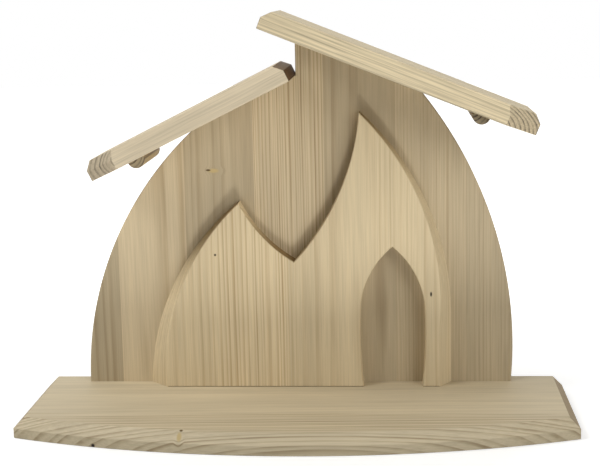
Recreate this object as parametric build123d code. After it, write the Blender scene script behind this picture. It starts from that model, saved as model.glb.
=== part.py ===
from build123d import *
import math
import os

# A small open stable of glued softwood boards: a base with a bowed front, a
# tall wall along its rear edge, a twin-peaked panel on the wall's face and two
# sloping roof boards. Millimetres, +Z up, the wall at the rear, +Y.
# The origin is the centre of the base's underside.

# Base board
base_width = 500.0
base_depth = 180.0
base_thickness = 18.0
base_front_bulge = 46.0  # the middle of the front edge stands this far ahead of its ends
base_chamfer = 9.0  # router chamfer along the front and both ends
base_glue_shares = (0.0, 0.34, 0.67, 1.0)  # of the base's depth

# Rear wall, flush with the back of the base
wall_thickness = 18.0
wall_left_reach = 205.0  # centre line to the widest point of the left edge
wall_left_radius = 327.0
wall_left_belly = 1.0  # height of that widest point above the base
wall_right_reach = 201.0
wall_right_radius = 386.0
wall_right_belly = 34.0
wall_glue_shares = (0.0, 0.08, 0.242, 0.404, 0.567, 0.73, 0.892, 1.0)  # of its width

# Twin-peaked panel glued to the wall's front
panel_thickness = 18.0
left_peak_offset = 54.5  # offsets are from the centre line, heights from the base
left_peak_height = 176.5
valley_offset = 3.5
valley_height = 120.5
right_peak_offset = 58.5
right_peak_height = 259.0
left_foot_front = 127.0  # the outer sides flare, wider at the wall than at the front
left_foot_rear = 144.5
right_foot_front = 132.0
right_foot_rear = 143.0
right_leg_height = 57.0  # upright stretch below the right curve
left_front_bulge = 21.5  # bulges and hollows are the rise of each curve over its chord
left_rear_bulge = 22.0
left_slope_hollow = 5.5
right_slope_hollow = 12.8
right_front_bulge = 24.0
right_rear_bulge = 23.8
panel_glue_shares = (0.0, 0.242, 0.471, 0.753, 1.0)  # of its width at the wall

# Pointed doorway through the panel
door_offset = 88.0
door_width = 59.0  # where the jambs end and the arch begins
door_foot_width = 55.5
door_jamb_height = 80.0
door_jamb_bulge = 1.7
door_height = 134.0
door_arch_bulge = 6.0

# Roof boards, resting on the sloping top edges of the wall
roof_depth = 95.0
roof_thickness = 18.0
roof_chamfer = 7.5  # along the top of both ends
roof_glue_shares = (0.0, 0.5, 1.0)  # of the roof's depth
eave_cut_length = 30.0  # the front corner of each eave is cut off at an angle
eave_cut_depth = 20.0
eave_bevel_height = 8.5  # steep bevel above that cut
eave_bevel_inset = 2.2
left_roof_pitch = 26.0  # degrees
left_roof_length = 202.0
left_roof_height = 310.5  # underside above the ground, at the centre line
right_roof_pitch = 22.0  # degrees
right_roof_length = 261.5
right_roof_height = 345.0
right_roof_overhang = 30.0  # how far the right board runs past the centre line

# Half-round purlins glued under the eaves
purlin_radius = 8.0
left_purlin_inset = 48.0  # from the eave's end to the purlin's middle
right_purlin_inset = 52.0
purlin_setback = 7.0  # from the roof's front and rear edges

# Dowels between the wall and the roof boards
dowel_diameter = 8.0
dowel_in_wall = 20.0
dowel_in_roof = 11.0
dowel_chamfer = 1.0
left_dowel_shares = (0.16, 0.40)  # of the left board's length, from the centre line
right_dowel_shares = (0.10, 0.25, 0.40)  # of the right board's length, likewise

# Countersunk wood screws
screw_diameter = 4.0
screw_head_diameter = 8.0
screw_tip_length = 4.0
screw_sink = 0.5  # the head lies this far below the surface
slot_width = 1.0  # each arm of the cross recess
slot_span_share = 0.55  # of the head's diameter
slot_depth = 1.2
base_screw_length = 50.0
panel_screw_length = 31.0
wall_screw_shares = (0.16, 0.33, 0.65, 0.81)  # of the wall's width
foot_screw_shares = (0.12, 0.36, 0.60)  # of the panel's width at its front
left_screw_shares = ((1.0, 0.30), (1.0, 0.68))  # of the left peak's offset and height
right_screw_shares = ((0.40, 0.25), (1.0, 0.74))  # of the right peak's, likewise

# Small sizes that many pieces share
edge_ease = 0.7  # sanded rounding or bevel of the outer edges
fit_clearance = 0.1  # round a dowel or screw in its hole, and at the roof's free end
cut_overrun = 5.0  # how far a cutting shape runs past what it cuts

# Planes and lines that several pieces share
base_front = -base_depth / 2
base_rear = base_depth / 2
wall_front = base_rear - wall_thickness
wall_middle = base_rear - wall_thickness / 2
panel_front = wall_front - panel_thickness
panel_middle = wall_front - panel_thickness / 2
roof_front = base_rear - roof_depth
roof_middle = base_rear - roof_depth / 2
saw_reach = 2 * (base_width + right_roof_height)  # clears the whole object from the middle
left_roof_place = Pos(0, 0, left_roof_height) * Rot(0, -left_roof_pitch, 0)
right_roof_place = Pos(0, 0, right_roof_height) * Rot(0, right_roof_pitch, 0)


def facing_front(depth):
    """Upright plane at the given depth: X runs right, Y runs up, out is to the front."""
    return Plane(origin=(0, depth, 0), x_dir=(1, 0, 0), z_dir=(0, -1, 0))


def places(low, high, shares):
    """Points that divide the stretch from low to high by the given shares."""
    return [low + (high - low) * share for share in shares]


def saw(board, name, cuts, blade):
    """Cut a board at the given places into its named staves, parallel to the blade's plane."""
    cuts = [cuts[0] - cut_overrun, *cuts[1:-1], cuts[-1] + cut_overrun]
    staves = {}
    for number, (low, high) in enumerate(zip(cuts, cuts[1:]), start=1):
        slab = extrude(blade.offset(low) * Rectangle(saw_reach, saw_reach), high - low)
        staves[f"{name}_{number}"] = (board & slab).solid()
    return staves


# Fasteners. Each is made pointing up from zero, and its hole is the same shape, eased.
def screw(length, ease=0):
    """Plain shank with a countersunk head at zero and a pointed tip."""
    shank = screw_diameter / 2 + ease
    head = screw_head_diameter / 2 + ease
    cone = head - shank
    straight = length - cone - screw_tip_length
    body = Pos(0, 0, cone / 2) * Cone(head, shank, cone)
    body += Pos(0, 0, cone + straight / 2) * Cylinder(shank, straight)
    return body + Pos(0, 0, length - screw_tip_length / 2) * Cone(shank, 0, screw_tip_length)


def cross_recess():
    """Cross-shaped socket for the driver, cut into a head at zero."""
    span = screw_head_diameter * slot_span_share
    arm = Pos(0, 0, slot_depth / 2) * Box(span, slot_width, slot_depth)
    return arm + Rot(0, 0, 90) * arm


def screw_hole(length):
    """Bore and countersink, open to the surface that the head lies below."""
    mouth = screw_sink + cut_overrun
    return screw(length, fit_clearance) + Pos(0, 0, -mouth / 2) * Cylinder(
        screw_head_diameter / 2 + fit_clearance, mouth)


def dowel():
    """Grooveless dowel through zero, chamfered at both ends."""
    length = dowel_in_wall + dowel_in_roof
    rod = Pos(0, 0, length / 2 - dowel_in_wall) * Cylinder(dowel_diameter / 2, length)
    return chamfer(rod.edges().filter_by(GeomType.CIRCLE), dowel_chamfer)


def dowel_hole():
    length = dowel_in_wall + dowel_in_roof + 2 * fit_clearance
    bore = Cylinder(dowel_diameter / 2 + fit_clearance, length)
    return Pos(0, 0, length / 2 - dowel_in_wall - fit_clearance) * bore


# Base: bowed front, chamfered along the front and the ends
def base_board():
    side = base_width / 2
    shoulder = base_front + base_front_bulge
    outline = Polyline((side, shoulder), (side, base_rear), (-side, base_rear), (-side, shoulder))
    outline += SagittaArc((-side, shoulder), (side, shoulder), -base_front_bulge)
    board = extrude(make_face(outline), base_thickness)
    top = board.faces().sort_by(Axis.Z)[-1].edges().sort_by(Axis.Y)
    board = chamfer(top[:-1], base_chamfer)
    return fillet(board.edges(), edge_ease)


# Rear wall: two large arcs that meet under the roofs, with a step at the centre line
def wall_half(reach, belly, radius, pitch, height, side):
    """Half of the outline, to the left (-1) or right (1) of the centre line."""
    outer = side * reach
    eave = height - reach * math.tan(math.radians(pitch))
    under_roof = make_face(Polyline(
        (0, base_thickness), (outer, base_thickness), (outer, eave), (0, height), close=True))
    middle = Pos(side * (reach - radius), base_thickness + belly)
    return under_roof & middle * Circle(radius)


def rear_wall():
    left = wall_half(wall_left_reach, wall_left_belly, wall_left_radius,
                     left_roof_pitch, left_roof_height, -1)
    right = wall_half(wall_right_reach, wall_right_belly, wall_right_radius,
                      right_roof_pitch, right_roof_height, 1)
    board = extrude(facing_front(base_rear) * (left + right), wall_thickness)
    faces_edges = board.edges().filter_by(Plane.XZ)
    curved = faces_edges.filter_by(GeomType.CIRCLE)
    step = faces_edges.filter_by(Axis.Z)
    return chamfer(curved + step, edge_ease)


# Twin-peaked panel: flared outer sides, square-cut valley
def panel_outline(left_foot, right_foot, left_bulge, right_bulge):
    left_corner = (-left_foot, base_thickness)
    right_corner = (right_foot, base_thickness)
    right_knee = (right_foot, base_thickness + right_leg_height)
    right_peak = (right_peak_offset, base_thickness + right_peak_height)
    valley = (-valley_offset, base_thickness + valley_height)
    left_peak = (-left_peak_offset, base_thickness + left_peak_height)
    outline = Polyline(left_corner, right_corner, right_knee)
    outline += SagittaArc(right_knee, right_peak, -right_bulge)
    outline += SagittaArc(right_peak, valley, right_slope_hollow)
    outline += SagittaArc(valley, left_peak, left_slope_hollow)
    outline += SagittaArc(left_peak, left_corner, -left_bulge)
    return make_face(outline)


def doorway():
    """Cutter for the doorway, with the sharp edge taken off its front."""
    below = base_thickness - cut_overrun
    spring = base_thickness + door_jamb_height
    left_side = door_offset - door_foot_width / 2
    right_side = door_offset + door_foot_width / 2
    left_foot = (left_side, base_thickness)
    right_foot = (right_side, base_thickness)
    left_spring = (door_offset - door_width / 2, spring)
    right_spring = (door_offset + door_width / 2, spring)
    apex = (door_offset, base_thickness + door_height)
    outline = Polyline(left_foot, (left_side, below), (right_side, below), right_foot)
    outline += SagittaArc(right_foot, right_spring, -door_jamb_bulge)
    outline += SagittaArc(right_spring, apex, -door_arch_bulge)
    outline += SagittaArc(apex, left_spring, -door_arch_bulge)
    outline += SagittaArc(left_spring, left_foot, -door_jamb_bulge)
    opening = make_face(outline)
    through = extrude(facing_front(wall_front + cut_overrun) * opening,
                      panel_thickness + 2 * cut_overrun)
    arris = extrude(facing_front(panel_front + edge_ease) * opening,
                    edge_ease + cut_overrun, taper=-45)
    return through + arris


def peaked_panel():
    rear = panel_outline(left_foot_rear, right_foot_rear, left_rear_bulge, right_rear_bulge)
    front = panel_outline(left_foot_front, right_foot_front, left_front_bulge, right_front_bulge)
    arris = facing_front(panel_front + edge_ease) * front
    board = loft([facing_front(wall_front) * rear, arris], ruled=True)
    board += extrude(arris, edge_ease, taper=45)
    return board - doorway()


# Roof boards, made flat with the centre line at zero and the underside at zero height
def roof_board(start, end):
    """Board from its ridge end to its eave end along X."""
    outward = math.copysign(1, end - start)
    corner = end - outward * eave_cut_length
    outline = Polyline(
        (start, roof_front), (start, base_rear), (end, base_rear),
        (end, roof_front + eave_cut_depth), (corner, roof_front), close=True)
    board = extrude(make_face(outline), roof_thickness)
    top = board.faces().sort_by(Axis.Z)[-1]
    board = chamfer(top.edges().filter_by(Axis.Y), roof_chamfer)
    top = board.faces().sort_by(Axis.Z)[-1]
    square = top.edges().filter_by(Axis.X) + top.edges().filter_by(Axis.Y)
    slanted = [edge for edge in top.edges() if edge not in square]
    board = chamfer(slanted, eave_bevel_inset, eave_bevel_height, reference=top)
    return fillet(board.edges(), edge_ease)


def purlin(middle):
    """Half-round rod along the roof's depth, its flat side at zero height."""
    length = roof_depth - 2 * purlin_setback
    rod = Pos(middle, roof_middle, 0) * Rot(90, 0, 0) * Cylinder(purlin_radius, length)
    rod = split(rod, Plane.XY, keep=Keep.BOTTOM)
    return fillet(rod.edges().filter_by(GeomType.CIRCLE), edge_ease)


# Assembly
base = base_board()
wall = rear_wall()
panel = peaked_panel()

left_roof_end = -fit_clearance / math.cos(math.radians(left_roof_pitch))
left_eave_end = left_roof_end - left_roof_length
right_roof_end = -right_roof_overhang
right_eave_end = right_roof_end + right_roof_length
left_roof = roof_board(left_roof_end, left_eave_end)
right_roof = roof_board(right_roof_end, right_eave_end)
left_purlin = left_roof_place * purlin(left_eave_end + left_purlin_inset)
right_purlin = right_roof_place * purlin(right_eave_end - right_purlin_inset)

# Dowels stand square to each slope, partly in the wall's edge and partly in the roof
left_dowel_spots = [Pos(-left_roof_length * share, wall_middle, 0) for share in left_dowel_shares]
right_dowel_spots = [Pos(right_roof_length * share, wall_middle, 0) for share in right_dowel_shares]
left_dowels = [left_roof_place * spot * dowel() for spot in left_dowel_spots]
right_dowels = [right_roof_place * spot * dowel() for spot in right_dowel_spots]
for spot in left_dowel_spots:
    left_roof -= spot * dowel_hole()
    wall -= left_roof_place * spot * dowel_hole()
for spot in right_dowel_spots:
    right_roof -= spot * dowel_hole()
    wall -= right_roof_place * spot * dowel_hole()

# Screws from below hold the wall and the panel, and screws from behind draw them together
wall_screw_spots = [Pos(x, wall_middle, screw_sink)
                    for x in places(-wall_left_reach, wall_right_reach, wall_screw_shares)]
foot_screw_spots = [Pos(x, panel_middle, screw_sink)
                    for x in places(-left_foot_front, right_foot_front, foot_screw_shares)]
rear_screw_spots = [
    Pos(-left_peak_offset * across, base_rear - screw_sink, base_thickness + left_peak_height * up)
    * Rot(90, 0, 0) for across, up in left_screw_shares]
rear_screw_spots += [
    Pos(right_peak_offset * across, base_rear - screw_sink, base_thickness + right_peak_height * up)
    * Rot(90, 0, 0) for across, up in right_screw_shares]
for spot in wall_screw_spots:
    base -= spot * screw_hole(base_screw_length)
    wall -= spot * screw_hole(base_screw_length)
for spot in foot_screw_spots:
    base -= spot * screw_hole(base_screw_length)
    panel -= spot * screw_hole(base_screw_length)
for spot in rear_screw_spots:
    wall -= spot * screw_hole(panel_screw_length)
    panel -= spot * screw_hole(panel_screw_length)
base_screw = screw(base_screw_length) - cross_recess()
panel_screw = screw(panel_screw_length) - cross_recess()

# One file for each piece
nodes = {}
nodes |= saw(base, "base_stave", places(base_front, base_rear, base_glue_shares), Plane.ZX)
nodes |= saw(wall, "wall_stave", places(-wall_left_reach, wall_right_reach, wall_glue_shares), Plane.YZ)
nodes |= saw(panel, "panel_stave", places(-left_foot_rear, right_foot_rear, panel_glue_shares), Plane.YZ)
roof_cuts = places(roof_front, base_rear, roof_glue_shares)
nodes |= saw(left_roof_place * left_roof, "left_roof_stave", roof_cuts, Plane.ZX)
nodes |= saw(right_roof_place * right_roof, "right_roof_stave", roof_cuts, Plane.ZX)
nodes["left_purlin"] = left_purlin
nodes["right_purlin"] = right_purlin
nodes["left_roof_dowels"] = Compound(left_dowels)
nodes["right_roof_dowels"] = Compound(right_dowels)
nodes["wall_foot_screws"] = Compound([spot * base_screw for spot in wall_screw_spots])
nodes["panel_foot_screws"] = Compound([spot * base_screw for spot in foot_screw_spots])
nodes["panel_rear_screws"] = Compound([spot * panel_screw for spot in rear_screw_spots])

os.makedirs("parts", exist_ok=True)
for name, piece in nodes.items():
    export_step(piece, f"parts/{name}.step")
    print(name, len(piece.solids()), "solid(s),", round(piece.volume), "cubic millimetres")
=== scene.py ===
# %% [markdown]
# # A small wooden stable, dressed in softwood
#
# The boards, dowels and screws of this stable are already modelled to size. This lesson
# gives them their looks: a camera, a white studio, and above all the wood. Every cell does
# one thing and prints what it made, so the file can be read and run from top to bottom.

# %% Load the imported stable
import math
import bpy
from mathutils import Euler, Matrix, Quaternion, Vector


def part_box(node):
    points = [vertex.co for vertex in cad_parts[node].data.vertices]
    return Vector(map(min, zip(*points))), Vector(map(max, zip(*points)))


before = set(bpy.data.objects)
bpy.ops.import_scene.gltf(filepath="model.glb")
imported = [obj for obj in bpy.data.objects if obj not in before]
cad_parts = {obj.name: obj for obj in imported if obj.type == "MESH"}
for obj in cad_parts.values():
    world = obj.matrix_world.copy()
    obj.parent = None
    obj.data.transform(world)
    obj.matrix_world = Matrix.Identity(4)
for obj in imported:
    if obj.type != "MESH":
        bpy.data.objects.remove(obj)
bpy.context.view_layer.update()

# %% [markdown]
# ## The camera
#
# The stable was seen from a little above its roof and slightly from the right, with a long
# lens that keeps the uprights nearly parallel. A camera can be turned by typing three
# angles, but a place, a point to look at and a small roll are easier to think about, and
# easier to correct one at a time.

# %% Set up the camera
camera_place = Vector((0.0878, -1.177, 0.388))
camera_aim = Vector((0.0064, 0.0, 0.1758))
camera_roll = math.radians(-1.16)

bpy.ops.object.select_all(action="DESELECT")
bpy.ops.object.camera_add(location=camera_place)
camera = bpy.context.object
sight = (camera_aim - camera_place).to_track_quat("-Z", "Y")
camera.rotation_euler = (sight @ Quaternion((0, 0, 1), camera_roll)).to_euler()
camera.data.lens = 81.0
camera.data.sensor_width = 36.0
bpy.context.scene.camera = camera
bpy.context.scene.view_settings.view_transform = "Standard"
print("camera", round((camera_aim - camera_place).length, 3), "m from what it looks at")

# %% [markdown]
# ## Colours and nodes
#
# Colours are written as hex codes, the way a picture editor shows them. Blender mixes
# light in linear values, so one function turns the first into the second. A second
# function adds a shader node, sets it up, and fills or links its sockets. With these two,
# a material reads like a list of steps.
#
# A Mix node holds sockets for every kind of data at once, and several of them share a
# name. So the ones that are needed here get names of their own for their numbers.

# %% Helpers for materials
COLOUR_1 = 6
COLOUR_2 = 7
MIXED_COLOUR = 2
PLACE_1 = 4
PLACE_2 = 5
MIXED_PLACE = 1


def linear(hex_code):
    """The linear RGBA colour of a hex code such as "D3BE97"."""
    shares = [int(hex_code[i:i + 2], 16) / 255 for i in (0, 2, 4)]
    light = [c / 12.92 if c <= 0.04045 else ((c + 0.055) / 1.055) ** 2.4 for c in shares]
    return (*light, 1.0)


def add(tree, kind, inputs=None, **settings):
    """Adds one shader node. A socket gets a value, or a link from a node or a socket."""
    made = tree.nodes.new("ShaderNode" + kind)
    for setting, value in settings.items():
        setattr(made, setting, value)
    for socket, value in (inputs or {}).items():
        if isinstance(value, bpy.types.Node):
            value = value.outputs[0]
        if isinstance(value, bpy.types.NodeSocket):
            tree.links.new(value, made.inputs[socket])
        else:
            made.inputs[socket].default_value = value
    return made


def bare_tree(owner):
    """An empty node tree for a material or a world."""
    owner.use_nodes = True
    owner.node_tree.nodes.clear()
    return owner.node_tree


print("pale wood in linear values", [round(c, 3) for c in linear("D3BE97")])

# %% [markdown]
# ## A white studio
#
# A catalogue picture stands the object on a white sweep of paper. More light would make
# the paper white, but would also bleach the wood. So the paper glows a little, only for
# the rays that come straight from the camera or by way of a mirror: it looks white and
# sends no extra light to the stable. The glow is weaker near the stable, which keeps its
# shadow.

# %% White paper
FIBRE_CLOUD = 0.010  # metres
SHADOW_REACH = 0.2  # metres from the middle up to which the glow is weakest
WHITE_REACH = 0.6  # metres from which on the paper is plain white
SHADOW_GLOW = 0.45
WHITE_GLOW = 1.0


def seen_directly(tree):
    """1 for camera, mirror and glass rays, 0 for the rays that carry light about."""
    ray = add(tree, "LightPath").outputs
    bounced = add(tree, "Math", {0: ray["Is Glossy Ray"], 1: ray["Is Transmission Ray"]},
                  operation="ADD")
    return add(tree, "Math", {0: ray["Is Camera Ray"], 1: bounced}, operation="ADD", use_clamp=True)


# matt card: even and white, with clouds of fibres that are drawn coarser than real
paper = bpy.data.materials.new("white paper sweep")
tree = bare_tree(paper)
on_paper = add(tree, "TexCoord").outputs["Object"]
fibre_cloud = add(tree, "TexNoise", {"Vector": on_paper, "Scale": 1 / FIBRE_CLOUD, "Detail": 2.0})
paper_tone = add(tree, "Mix", {0: fibre_cloud, COLOUR_1: linear("D2D2D0"), COLOUR_2: linear("DEDEDC")},
                 data_type="RGBA")
matt = add(tree, "BsdfDiffuse", {"Color": paper_tone.outputs[MIXED_COLOUR]})
away = add(tree, "VectorMath", {0: on_paper}, operation="LENGTH")
edge_glow = add(tree, "MapRange", {"Value": away.outputs["Value"],
                                   "From Min": SHADOW_REACH, "From Max": WHITE_REACH,
                                   "To Min": SHADOW_GLOW, "To Max": WHITE_GLOW})
glow_strength = add(tree, "Math", {0: seen_directly(tree), 1: edge_glow}, operation="MULTIPLY")
glow = add(tree, "Emission", {"Strength": glow_strength})
add(tree, "OutputMaterial", {"Surface": add(tree, "AddShader", {0: matt, 1: glow})})
print("paper glows", SHADOW_GLOW, "near the stable and", WHITE_GLOW, "from", WHITE_REACH, "m on")

# %% Paper floor
FLOOR_WIDTH = 9.0
FLOOR_DROP = 0.0003  # metres under the base, so that the two faces don't fight

bpy.ops.object.select_all(action="DESELECT")
bpy.ops.mesh.primitive_plane_add(size=FLOOR_WIDTH, location=(0, 0, -FLOOR_DROP))
floor = bpy.context.object
floor.name = "paper_floor"
bpy.ops.object.transform_apply(location=True)
floor.data.materials.append(paper)
floor.visible_shadow = False  # a low lamp shines up through the paper
print("floor", floor.dimensions[:])

# %% [markdown]
# The room round the stable gives the light that comes from everywhere. It is weak in
# front, so the lamps can draw shadows there, and stronger behind, where no lamp stands.

# %% White room
FRONT_LIGHT = 0.04
BACK_LIGHT = 1.0
FRONT_ENDS = -0.2  # Y of a direction, from -1 in front to 1 behind
BACK_STARTS = 0.9

room = bpy.data.worlds.new("white room")
bpy.context.scene.world = room
tree = bare_tree(room)
direction = add(tree, "SeparateXYZ", {0: add(tree, "TexCoord").outputs["Object"]})
behind = add(tree, "MapRange", {"Value": direction.outputs["Y"],
                                "From Min": FRONT_ENDS, "From Max": BACK_STARTS,
                                "To Min": FRONT_LIGHT, "To Max": BACK_LIGHT},
             interpolation_type="SMOOTHSTEP")
room_light = add(tree, "Background", {"Color": linear("FFFFFF"), "Strength": behind})
room_white = add(tree, "Background", {"Color": linear("FFFFFF"), "Strength": 1.0})
room_mix = add(tree, "MixShader", {0: seen_directly(tree), 1: room_light, 2: room_white})
add(tree, "OutputWorld", {"Surface": room_mix})
print("world", room.name, "from", FRONT_LIGHT, "in front to", BACK_LIGHT, "behind")

# %% [markdown]
# ## Soft lamps
#
# The main softbox stands to the right of the camera and throws the panel's soft shadow to
# the left. A second one hangs high on the left side, where the roofs keep its light off
# the top of the wall. A third, small one shines up from close by, through the paper, as in
# a light table. It draws the short shadow that stands above each peak of the panel.

# %% Three softboxes
stable_middle = Vector((0, 0.05, 0.2))


def softbox(name, place, width, height, power):
    """A rectangular lamp that faces the stable and isn't seen itself."""
    bpy.ops.object.light_add(type="AREA", location=place)
    lamp = bpy.context.object
    lamp.name = name
    lamp.rotation_euler = (stable_middle - Vector(place)).to_track_quat("-Z", "Y").to_euler()
    lamp.data.shape = "RECTANGLE"
    lamp.data.size = width
    lamp.data.size_y = height
    lamp.data.energy = power
    lamp.visible_camera = False
    print(name, power, "W")


softbox("left_softbox", (-1.25, -0.5, 1.66), 1.2, 1.0, 26.0)
softbox("right_softbox", (1.27, -1.31, 0.92), 1.2, 0.9, 17.5)
softbox("light_table", (0.10, -0.546, -0.28), 0.15, 0.15, 1.84)

# %% [markdown]
# Photographers keep light off a part with a black cloth on a frame, called a flag. One
# lies under the base here, and keeps the low lamp from glaring on its front edge.

# %% Black flag
FELT_TUFT = 0.0025  # metres

# black felt: swallows nearly all light, with a faint nap that is drawn coarser than real
felt = bpy.data.materials.new("black felt")
tree = bare_tree(felt)
on_felt = add(tree, "TexCoord").outputs["Object"]
tufts = add(tree, "TexNoise", {"Vector": on_felt, "Scale": 1 / FELT_TUFT})
nap = add(tree, "Mix", {0: tufts, COLOUR_1: linear("0C0C0C"), COLOUR_2: linear("1C1C1C")},
          data_type="RGBA")
felted = add(tree, "BsdfDiffuse", {"Color": nap.outputs[MIXED_COLOUR]})
add(tree, "OutputMaterial", {"Surface": felted})

bpy.ops.mesh.primitive_plane_add(size=1.0, location=(0, 0.0625, -0.002))
flag = bpy.context.object
flag.name = "black_flag"
flag.scale = (1.2, 0.375, 1.0)
bpy.ops.object.transform_apply(location=True, scale=True)
flag.data.materials.append(felt)
flag.visible_camera = False
flag.visible_diffuse = False
flag.visible_glossy = False
print("flag", flag.dimensions[:])

# %% [markdown]
# ## Wood from the log outwards
#
# A picture of planks pasted on each face would break at every edge, and this stable is
# full of edges: bevels, slanted eaves, a pointed door. Real wood has its pattern all
# through. So the colour is worked out in three dimensions: each stave is given a place in
# a log, and a point's distance from the pith, the log's centre line, tells its year ring.
# Wherever the stave is cut, the right figure shows by itself: fine lines on a face across
# the rings, broad arches on a face along them, and arcs on the ends.
#
# First the place in the log: a Mapping node set to Texture moves the pith to the origin,
# turns the grain upright and counts in millimetres. All noises are then sized in
# millimetres too, across and along the grain.

# %% Where a point lies in its log
MM = 0.001


def place_in_log(tree, pith, grain_turn):
    """Millimetres from the pith, with the grain along Z, at a point of the stable."""
    spot = add(tree, "TexCoord").outputs["Object"]
    return add(tree, "Mapping", {"Vector": spot, "Location": pith, "Rotation": grain_turn,
                                 "Scale": (MM, MM, MM)}, vector_type="TEXTURE")


def streaks(tree, place, across, along, detail):
    """A noise with streaks of a size in millimetres across and along the grain."""
    size = (1 / across, 1 / across, 1 / along)
    scaled = add(tree, "VectorMath", {0: place, 1: size}, operation="MULTIPLY")
    return add(tree, "TexNoise", {"Vector": scaled, "Scale": 1.0, "Detail": detail})


print("the log is measured in units of", MM, "m")

# %% [markdown]
# ## Year rings
#
# A ring starts with pale, soft earlywood in spring, darkens towards autumn and ends
# sharply. Rings aren't true circles, so the place is pushed a few millimetres to and fro
# by a noise that is long along the grain. Good and bad spells make the rings wider and
# narrower, and the depth of the dark line changes from year to year.

# %% Growth rings
DRIFT_ACROSS = 70.0  # millimetres
DRIFT_ALONG = 450.0
NOISE_MIDDLE = (0.5, 0.5, 0.5)
SPELLS = 0.09  # per millimetre of radius
SPELL_SHIFT = 2.2  # years
LATEWOOD_STARTS = 0.35  # share of the year
LATEWOOD_ENDS = 0.90
FAINTEST_LINE = 0.45


def growth_rings(tree, place, ring_width, wander):
    """0 in earlywood, up to 1 in the dark latewood line that ends each year."""
    drift = streaks(tree, place, DRIFT_ACROSS, DRIFT_ALONG, detail=2.0).outputs["Color"]
    push = add(tree, "VectorMath", {0: drift, 1: NOISE_MIDDLE}, operation="SUBTRACT")
    pushed = add(tree, "VectorMath", {0: push, 1: (wander, wander, wander), 2: place},
                 operation="MULTIPLY_ADD")
    flat = add(tree, "VectorMath", {0: pushed, 1: (1, 1, 0)}, operation="MULTIPLY")
    radius = add(tree, "VectorMath", {0: flat}, operation="LENGTH").outputs["Value"]
    steady = add(tree, "Math", {0: radius, 1: 1 / ring_width}, operation="MULTIPLY")
    uneven = add(tree, "TexNoise", {"W": radius, "Scale": SPELLS}, noise_dimensions="1D")
    years = add(tree, "Math", {0: uneven, 1: SPELL_SHIFT, 2: steady}, operation="MULTIPLY_ADD")
    season = add(tree, "Math", {0: years}, operation="FRACT")
    darkening = add(tree, "MapRange", {"Value": season, "From Min": LATEWOOD_STARTS,
                                       "From Max": LATEWOOD_ENDS}, interpolation_type="SMOOTHSTEP")
    ending = add(tree, "MapRange", {"Value": season, "From Min": LATEWOOD_ENDS, "From Max": 1.0,
                                    "To Min": 1.0, "To Max": 0.0})
    line = add(tree, "Math", {0: darkening, 1: ending}, operation="MULTIPLY")
    year = add(tree, "Math", {0: years}, operation="FLOOR")
    harvest = add(tree, "TexWhiteNoise", {"W": year}, noise_dimensions="1D")
    strength = add(tree, "MapRange", {"Value": harvest.outputs["Value"],
                                      "To Min": FAINTEST_LINE, "To Max": 1.0})
    return add(tree, "Math", {0: line, 1: strength}, operation="MULTIPLY")


print("the wood darkens from", LATEWOOD_STARTS, "to", LATEWOOD_ENDS, "of each year")

# %% [markdown]
# ## Knots
#
# Where a branch grew, the fibres flow round it and the wood is amber or nearly black. A
# knot here is an ellipsoid in the timber: the grain near it is drawn towards its centre,
# which bends the lines apart on both sides, and its own colour is laid over the wood.

# %% Knots and bark pockets
PULL = 0.45  # share of the way to the centre
PULL_FULL = 0.7  # times the knot's size
PULL_ENDS = 2.6
RIM_INSIDE = 0.55
RIM_OUTSIDE = 1.1


def knot_reach(tree, centre, half_sizes):
    """Distance from a knot's centre, 1 at its rim."""
    spot = add(tree, "TexCoord").outputs["Object"]
    inside = add(tree, "Mapping", {"Vector": spot, "Location": centre, "Scale": half_sizes},
                 vector_type="TEXTURE")
    return add(tree, "VectorMath", {0: inside}, operation="LENGTH").outputs["Value"]


def flow_round(tree, place, reach, centre, pith, grain_turn):
    """The place in the log, drawn towards a knot that is near."""
    core = (Vector(centre) - Vector(pith)) / MM
    core.rotate(Euler(grain_turn).to_matrix().inverted())
    pull = add(tree, "MapRange", {"Value": reach, "From Min": PULL_FULL, "From Max": PULL_ENDS,
                                  "To Min": PULL, "To Max": 0.0}, interpolation_type="SMOOTHSTEP")
    drawn = add(tree, "Mix", {0: pull, PLACE_1: place, PLACE_2: core}, data_type="VECTOR")
    return drawn.outputs[MIXED_PLACE]


def knot_over(tree, wood, reach, colour):
    """The wood's colour with a knot laid over it, soft at the rim."""
    rim = add(tree, "MapRange", {"Value": reach, "From Min": RIM_INSIDE, "From Max": RIM_OUTSIDE,
                                 "To Min": 1.0, "To Max": 0.0})
    covered = add(tree, "Mix", {0: rim, COLOUR_1: wood, COLOUR_2: linear(colour)}, data_type="RGBA")
    return covered.outputs[MIXED_COLOUR]


print("a knot bends the grain up to", PULL_ENDS, "times its size")

# %% [markdown]
# ## End grain
#
# A cut across the fibres shows their open ends. It drinks in light, so it is darker than
# the face of a board, and its year lines are stronger. How squarely a face cuts the fibres
# is told by its normal: along the grain it is an end, at a right angle it is a side.

# %% How squarely a face cuts the fibres
SIDE_ENDS = 0.485
END_STARTS = 0.76


def cut_across(tree, grain_turn):
    """0 on a face along the fibres, 1 on one that cuts straight across them."""
    grain = Vector((0, 0, 1))
    grain.rotate(Euler(grain_turn))
    normal = add(tree, "TexCoord").outputs["Normal"]
    facing = add(tree, "VectorMath", {0: normal, 1: grain}, operation="DOT_PRODUCT")
    return add(tree, "Math", {0: facing.outputs["Value"]}, operation="ABSOLUTE")


def end_darkened(tree, wood, across, end_grain):
    """The wood's colour, times the end grain's where a face cuts across the fibres."""
    end = add(tree, "MapRange", {"Value": across, "From Min": SIDE_ENDS, "From Max": END_STARTS})
    cut = add(tree, "Mix", {0: end, COLOUR_1: wood, COLOUR_2: end_grain}, data_type="RGBA",
              blend_type="MULTIPLY")
    return cut.outputs[MIXED_COLOUR]


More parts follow.
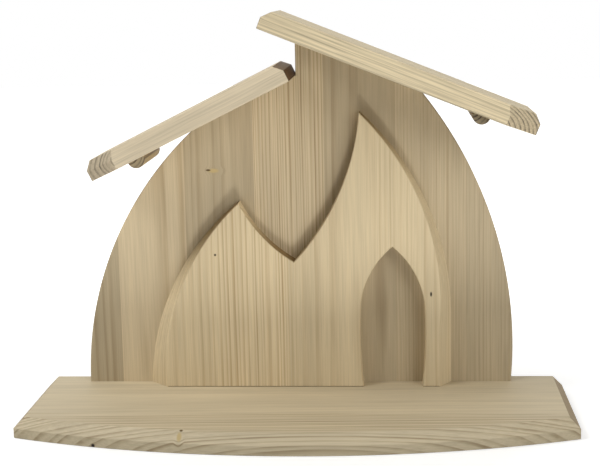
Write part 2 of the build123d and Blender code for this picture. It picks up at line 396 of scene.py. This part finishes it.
lean = round(90 - math.degrees(math.acos(SIDE_ENDS)))
print("a cut", lean, "degrees from the fibres starts to darken")

# %% [markdown]
# ## Lines and fibres
#
# The year lines lie between a pale and a dark colour, and fade here and there along the
# grain, as sanding leaves them. Over them come fine fibres and a broad change of tone.
# Real fibres are thinner than a hair, so they are drawn as streaks of about a millimetre,
# which show from where the camera stands.

# %% Lines and fibres
LINES_ALONG = 0.3  # how squarely a face is cut where its lines start to deepen
LINES_ACROSS = 0.5
PATCH_ACROSS = 5.0  # millimetres
PATCH_ALONG = 120.0
FIBRE_ACROSS = 1.1
FIBRE_ALONG = 55.0
CLOUD_ACROSS = 16.0
CLOUD_ALONG = 240.0
BROAD_CHANGE = 0.06


def year_lines(tree, place, rings, across, early, late, depth, cut_depth):
    """Pale wood with dark lines, of one depth on the sides and another on the ends."""
    line_depth = add(tree, "MapRange", {"Value": across,
                                        "From Min": LINES_ALONG, "From Max": LINES_ACROSS,
                                        "To Min": depth, "To Max": cut_depth})
    patches = streaks(tree, place, PATCH_ACROSS, PATCH_ALONG, detail=1.0)
    fading = add(tree, "MapRange", {"Value": patches, "From Min": 0.35, "From Max": 0.65,
                                    "To Min": 0.5, "To Max": 1.0})
    drawn = add(tree, "Math", {0: rings, 1: fading}, operation="MULTIPLY")
    lines = add(tree, "Math", {0: drawn, 1: line_depth}, operation="MULTIPLY")
    lined = add(tree, "Mix", {0: lines, COLOUR_1: early, COLOUR_2: late}, data_type="RGBA")
    return lined.outputs[MIXED_COLOUR]


def fibre_shade(tree, place, fibres, fibre, tone):
    """The light and dark of the fibres, times the stave's tone, which is a little cloudy and on some
    staves holds painted shade.
    """
    fine = add(tree, "MapRange", {"Value": fibres, "From Min": 0.3, "From Max": 0.7,
                                  "To Min": 1 - fibre, "To Max": 1 + 0.8 * fibre})
    cloud = streaks(tree, place, CLOUD_ACROSS, CLOUD_ALONG, detail=1.0)
    broad = add(tree, "MapRange", {"Value": cloud, "From Min": 0.25, "From Max": 0.75,
                                   "To Min": (1 - BROAD_CHANGE) * tone,
                                   "To Max": (1 + BROAD_CHANGE) * tone})
    return add(tree, "Math", {0: fine, 1: broad}, operation="MULTIPLY")


print("fibres are drawn", FIBRE_ACROSS, "by", FIBRE_ALONG, "mm")

# %% [markdown]
# ## Sanded spruce
#
# Now the finish itself, put together from the steps above. The dark lines are harder and
# stay a little proud after sanding, which the bump gives to the light. Bare sanded spruce
# is matt, with the hard lines slightly smoother.

# %% Make a stave's own spruce
RIDGE = 0.3 * MM
EARLY_ROUGHNESS = 0.68
LATE_ROUGHNESS = 0.54


def sanded_spruce(name, pith, grain_turn, colours, ring_width, depth, cut_depth, wander, fibre, tone,
                  knots):
    """Bare softwood of one stave. The colours are for early wood, late wood and end grain, a
    knot has a centre, half sizes and a colour."""
    early, late, end_grain = [linear(code) for code in colours]
    material = bpy.data.materials.new(name)
    tree = bare_tree(material)
    place = place_in_log(tree, pith, grain_turn)
    reaches = [knot_reach(tree, centre, sizes) for centre, sizes, colour in knots]
    for (centre, sizes, colour), reach in zip(knots, reaches):
        place = flow_round(tree, place, reach, centre, pith, grain_turn)
    rings = growth_rings(tree, place, ring_width, wander)
    across = cut_across(tree, grain_turn)
    fibres = streaks(tree, place, FIBRE_ACROSS, FIBRE_ALONG, detail=3.0)

    wood = year_lines(tree, place, rings, across, early, late, depth, cut_depth)
    shade = fibre_shade(tree, place, fibres, fibre, tone)
    wood = add(tree, "VectorMath", {0: wood, "Scale": shade}, operation="SCALE").outputs[0]
    wood = end_darkened(tree, wood, across, end_grain)
    for (centre, sizes, colour), reach in zip(knots, reaches):
        wood = knot_over(tree, wood, reach, colour)

    ridges = add(tree, "Math", {0: fibres, 1: 0.5, 2: rings}, operation="MULTIPLY_ADD")
    relief = add(tree, "Bump", {"Height": ridges, "Strength": 0.25, "Distance": RIDGE})
    gloss = add(tree, "MapRange", {"Value": rings, "To Min": EARLY_ROUGHNESS, "To Max": LATE_ROUGHNESS})
    surface = add(tree, "BsdfPrincipled", {"Base Color": wood, "Roughness": gloss, "Normal": relief,
                                           "Specular IOR Level": 0.3})
    add(tree, "OutputMaterial", {"Surface": surface})
    return material


print("roughness", EARLY_ROUGHNESS, "in early wood and", LATE_ROUGHNESS, "in the lines")

# %% [markdown]
# Each stave has its own log. The pith's offset from the stave's middle, in millimetres to
# the right, to the rear and up, decides its figure: a pith far to one side gives close
# straight lines, a pith behind the face gives broad arches.

# %% Dress staves from their logs
def dress(node, material):
    """Gives a CAD node one material."""
    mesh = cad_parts[node].data
    mesh.materials.clear()
    mesh.materials.append(material)


def dress_staves(logs, wood, grain_turn, colours, cut_depth, wander, fibre):
    """Dresses staves, each by its pith's offset, ring width, depth of the lines, tone and knots."""
    for node, (offset, ring_width, depth, tone, knots) in logs.items():
        low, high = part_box(node)
        pith = (low + high) / 2 + Vector(offset) * MM
        material = sanded_spruce(wood + " " + node, pith, grain_turn, colours, ring_width, depth,
                                 cut_depth, wander, fibre, tone, knots)
        dress(node, material)
    print(", ".join(logs), "in", wood)


print(len(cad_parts), "nodes to dress")

# %% [markdown]
# ## The wall
#
# Seven upright staves, one with close dark lines and one with an eye-shaped amber knot.

# %% Dress the wall
UPRIGHT = (0.0, 0.0, 0.0)
eye_knot = ((-0.0790, 0.072, 0.2228), (0.0058, 0.03, 0.0023), "C4AE7C")
eye_slit = ((-0.0838, 0.072, 0.2234), (0.0026, 0.03, 0.0011), "5A4428")

# the tones of staves 1 and 7 are partly painted shade for the wall's darker outer edges, and that of stave
# 5 partly painted shade beside the panel's high peak
wall_logs = {
    "wall_stave_1": ((40, 90, 0), 3.0, 0.55, 0.84, []),
    "wall_stave_2": ((-14, 120, 0), 3.8, 0.65, 1.12, []),
    "wall_stave_3": ((26, 70, 0), 3.8, 0.50, 0.92, [eye_knot, eye_slit]),
    "wall_stave_4": ((150, 40, 0), 2.7, 0.95, 1.12, []),
    "wall_stave_5": ((16, 110, 0), 3.4, 0.55, 0.87, []),
    "wall_stave_6": ((-121, 60, 0), 2.5, 0.40, 0.97, []),
    "wall_stave_7": ((-90, 70, 0), 2.7, 0.36, 0.87, []),
}
# bare spruce in the light of the room: straw, with greyish brown lines
wall_spruce = ("C4B393", "8C724B", "9A7A58")
dress_staves(wall_logs, "sanded spruce", UPRIGHT, wall_spruce, cut_depth=0.6, wander=4.5, fibre=0.09)

# %% [markdown]
# ## The panel
#
# Four staves, the second with strong, regular lines. A pin knot and a small bark pocket
# break the surface.

# %% Dress the panel
pin_knot = ((-0.0774, 0.054, 0.1458), (0.0012, 0.02, 0.0013), "2E1E12")
bark_pocket = ((0.1237, 0.054, 0.1072), (0.0011, 0.02, 0.0026), "241710")

panel_logs = {
    "panel_stave_1": ((-30, 80, 0), 3.4, 0.42, 1.06, [pin_knot]),
    "panel_stave_2": ((-130, 45, 0), 3.9, 0.80, 1.09, []),
    "panel_stave_3": ((24, 120, 0), 3.0, 0.42, 0.98, []),
    "panel_stave_4": ((60, 90, 0), 3.0, 0.36, 0.98, [bark_pocket]),
}
# the same spruce from a lighter board, a little more golden
panel_spruce = ("D4C29E", "9E7E50", "A8987C")
dress_staves(panel_logs, "sanded spruce", UPRIGHT, panel_spruce, cut_depth=0.45, wander=5.0, fibre=0.09)

# %% [markdown]
# ## The base
#
# Here the grain runs along the base, so the log lies down: it is turned a quarter round Y,
# and two degrees askew, as sawn boards often are. The pith of the front stave lies below
# and ahead of it. The slanting rings then cross the bowed front edge in long, flowing
# lines, flatter on the right than on the left.

# %% Dress the base
ALONG = (0.0, math.radians(90), math.radians(2))
bevel_knot = ((-0.0955, -0.0790, 0.0130), (0.0024, 0.005, 0.005), "BEA878")
bevel_pin = ((-0.0942, -0.0748, 0.0178), (0.0018, 0.0016, 0.0016), "64502F")
edge_knot = ((-0.1732, -0.0679, 0.0016), (0.0020, 0.012, 0.0020), "1E140D")

base_logs = {
    "base_stave_1": ((0, -109, -54), 4.2, 1.00, 0.98, [bevel_knot, bevel_pin, edge_knot]),
    "base_stave_2": ((0, 20, -90), 3.0, 0.25, 1.00, []),
    "base_stave_3": ((0, 90, -40), 2.8, 0.25, 0.99, []),
}
# paler and greyer than the wall, with warm grey lines
base_spruce = ("C9BB9D", "8D7857", "AC9A78")
dress_staves(base_logs, "sanded spruce", ALONG, base_spruce, cut_depth=1.0, wander=3.5, fibre=0.09)

# %% [markdown]
# ## The roofs
#
# The logs of the roof boards are tilted with them. At the slanted eaves the rings come to
# the surface, and where two cuts meet they form chevrons. The front stave of the left roof
# is slid 100 mm along its log, to where the wood is calmer.

# %% Dress the roofs
LEFT_PITCH = 26  # degrees
RIGHT_PITCH = 22
left_slope = (0.0, math.radians(90 - LEFT_PITCH), 0.0)
right_slope = (0.0, math.radians(90 + RIGHT_PITCH), 0.0)

left_logs = {
    "left_roof_stave_1": ((90, -31, 44.4), 3.2, 0.20, 1.03, []),
    "left_roof_stave_2": ((0, 26, -40), 3.2, 0.25, 1.00, []),
}
right_logs = {
    "right_roof_stave_1": ((0, -36, -15), 2.65, 0.52, 1.06, []),
    "right_roof_stave_2": ((0, 25, -50), 3.0, 0.25, 1.00, []),
}
# cream faces with faint lines, and dark brown end grain: partly the wood's own darker ends, partly painted
# shade for the ridge end under the right roof
left_spruce = ("D0C1A5", "746A58", "664A2C")
right_spruce = ("D2C2A0", "746A58", "6C4C38")
dress_staves(left_logs, "sanded spruce", left_slope, left_spruce, cut_depth=1.0, wander=3.0, fibre=0.15)
dress_staves(right_logs, "sanded spruce", right_slope, right_spruce, cut_depth=1.4, wander=3.0, fibre=0.22)

# %% [markdown]
# ## The purlins
#
# Half-round sticks of a reddish, fast-grown wood, with the roof's shade painted into their
# colour, deeper on the right one. Their ends show the rings round the pith, and have gone grey, as end
# grain does first.

# %% Dress the purlins
TO_FRONT = (math.radians(90), 0.0, 0.0)
# the tones are painted shade: 0.70 on the left purlin, 0.49 on the right one, which stands in deeper shade
purlin_logs_painted_shade = {
    "left_purlin": ((-7, 0, 6), 3.2, 0.95, 0.70, []),
    "right_purlin": ((-7, 0, 6), 3.2, 0.95, 0.49, []),
}
# dull, reddish straw, made brown by painted shade: the tones above darken it for the roof's shade, the
# right purlin most
purlin_larch = ("D6BE92", "66503A", "DCE1EB")
dress_staves(purlin_logs_painted_shade, "sanded larch", TO_FRONT, purlin_larch, cut_depth=1.3, wander=2.0, fibre=0.12)

# %% [markdown]
# ## Beech dowels and zinc-plated screws
#
# Both sit inside the boards, and only the screw heads show, at the back and below. Beech
# is an even pinkish brown with short dark flecks along the grain. The screws are bright
# steel with a thin zinc coat, slightly blotchy and finely scratched.

# %% Dress the dowels
# beech: even, with flecks that are drawn a little larger than real
beech = bpy.data.materials.new("turned beech")
tree = bare_tree(beech)
place = place_in_log(tree, (0, 0, 0), UPRIGHT)
flecks = streaks(tree, place, across=0.7, along=4.0, detail=2.0)
fleck = add(tree, "MapRange", {"Value": flecks, "From Min": 0.52, "From Max": 0.68})
tint = add(tree, "Mix", {0: fleck, COLOUR_1: linear("D0AA80"), COLOUR_2: linear("A67C54")},
           data_type="RGBA")
sheen = add(tree, "MapRange", {"Value": fleck, "To Min": 0.5, "To Max": 0.6})
relief = add(tree, "Bump", {"Height": flecks, "Strength": 0.1, "Distance": 0.1 * MM})
turned = add(tree, "BsdfPrincipled", {"Base Color": tint.outputs[MIXED_COLOUR], "Roughness": sheen,
                                      "Normal": relief})
add(tree, "OutputMaterial", {"Surface": turned})

for node in ("left_roof_dowels", "right_roof_dowels"):
    dress(node, beech)
print("dowels in", beech.name)

# %% Dress the screws
# zinc on steel: a bright, slightly cloudy grey mirror, with scratches drawn coarser than real
zinc = bpy.data.materials.new("zinc-plated steel")
tree = bare_tree(zinc)
place = place_in_log(tree, (0, 0, 0), UPRIGHT)
bloom = streaks(tree, place, across=1.5, along=1.5, detail=3.0)
scratches = streaks(tree, place, across=0.25, along=2.5, detail=2.0)
tint = add(tree, "Mix", {0: bloom, COLOUR_1: linear("94928B"), COLOUR_2: linear("AEACA5")},
           data_type="RGBA")
cloudy = add(tree, "MapRange", {"Value": bloom, "From Min": 0.3, "From Max": 0.7,
                                "To Min": 0.30, "To Max": 0.45})
relief = add(tree, "Bump", {"Height": scratches, "Strength": 0.08, "Distance": 0.05 * MM})
plated = add(tree, "BsdfPrincipled", {"Base Color": tint.outputs[MIXED_COLOUR], "Metallic": 1.0,
                                      "Roughness": cloudy, "Normal": relief})
add(tree, "OutputMaterial", {"Surface": plated})

for node in ("wall_foot_screws", "panel_foot_screws", "panel_rear_screws"):
    dress(node, zinc)
print("screws in", zinc.name)
